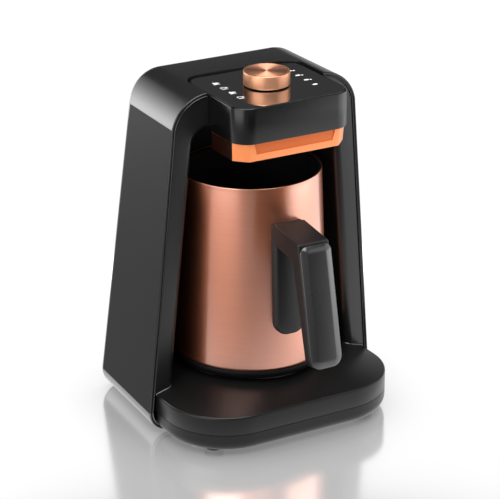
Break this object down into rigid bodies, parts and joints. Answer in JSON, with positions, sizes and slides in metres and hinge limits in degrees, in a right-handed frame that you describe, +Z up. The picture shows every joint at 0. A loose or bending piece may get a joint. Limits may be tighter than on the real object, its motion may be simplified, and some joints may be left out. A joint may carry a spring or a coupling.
{
  "type": "electric turkish coffee maker",
  "caption": "Countertop coffee maker with an arched body, a domed heated base, a lift-out spouted pot with a side handle and a rotary push control on a glass panel.",
  "frame": {"origin": "on the table, below the middle of the machine's bounding box", "axes": "+X to the machine's right seen from behind the handle, -Y to the front where the handle points, +Z up"},
  "size_m": [0.1688, 0.17, 0.2385],
  "materials": {
    "shell_grey": "satin",
    "cheek_black": "fine satin",
    "alcove_black": "matte",
    "screw_steel": "zinc plated",
    "base_black": "semi-gloss",
    "rubber_black": "matte",
    "inner_plastic": "moulded",
    "steel": "brushed",
    "silicone": "matte",
    "element_steel": "heat tinted",
    "ceramic_white": "glazed",
    "spring_steel": "drawn wire",
    "circuit_green": "solder mask",
    "transformer_yellow": "tape wrapped",
    "relay_blue": "moulded",
    "component": "moulded",
    "terminal_green": "moulded",
    "wire_jacket": "braided sleeve",
    "light_band": "translucent, copper tinted",
    "lens": "dark, polished",
    "glass_black": "back-painted glass, polished",
    "mark_white": "printed",
    "clear_plastic": "clear moulded",
    "knob_copper": "turned, copper anodised",
    "copper_coat": "brushed copper coating on steel",
    "pot_lining": "dark non-stick coating"
  },
  "bodies": {
    "machine": {"outer_shell": "shell_grey", "front_bezel": "cheek_black", "alcove_liner": "alcove_black", "rear_cover": "shell_grey", "rear_screws": "screw_steel", "base_tray": "base_black", "base_cover": "base_black", "base_screws": "screw_steel", "rubber_feet": "rubber_black", "heater_well": "inner_plastic", "heater_plate": "steel", "plate_seal": "silicone", "heating_element": "element_steel", "element_bracket": "steel", "thermal_cutout": "ceramic_white", "probe_spring": "spring_steel", "power_board": "circuit_green", "transformer": "transformer_yellow", "relay": "relay_blue", "capacitors": "component", "terminal_block": "terminal_green", "cable_gland": "rubber_black", "wiring_harness": "wire_jacket", "head_housing": "shell_grey", "head_frame": "inner_plastic", "head_underside": "alcove_black", "head_screws": "screw_steel", "light_band": "light_band", "led_strip": "circuit_green", "sensor_lens": "lens", "glass_panel": "glass_black", "panel_marks": "mark_white", "light_pipes": "clear_plastic", "control_board": "circuit_green", "board_screws": "screw_steel", "buzzer": "component", "encoder_housing": "component", "tactile_dome": "spring_steel"},
    "press_stem": {"encoder_plunger": "inner_plastic"},
    "knob": {"knob_cap": "knob_copper", "knob_core": "inner_plastic", "encoder_shaft": "steel"},
    "probe": {"temperature_probe": "steel"},
    "pot": {"pot_body": "copper_coat", "pot_lining": "pot_lining", "pot_base_plate": "steel", "pot_base_ring": "base_black", "handle_pad": "cheek_black", "pad_studs": "screw_steel", "handle_body": "cheek_black", "handle_cover": "shell_grey", "handle_screw": "screw_steel"}
  },
  "joints": [
    {"name": "knob_press", "type": "slide", "parent": "machine", "child": "press_stem", "axis": [0, 0, -1], "range_m": [0, 0.0006], "stiffness_N_per_m": 3000, "springref_m": -0.0004, "deforming": ["tactile_dome"]},
    {"name": "knob_turn", "type": "hinge", "parent": "press_stem", "child": "knob", "pos_m": [0, -0.0054, 0.23], "axis": [0, 0, 1], "continuous": true},
    {"name": "probe_press", "type": "slide", "parent": "machine", "child": "probe", "axis": [0, 0, -1], "range_m": [0, 0.0012], "stiffness_N_per_m": 300, "springref_m": -0.002, "deforming": ["probe_spring"]},
    {"name": "pot_slide", "type": "slide", "parent": "machine", "child": "pot", "axis": [0, -1, 0], "range_m": [0, 0.15]}
  ]
}
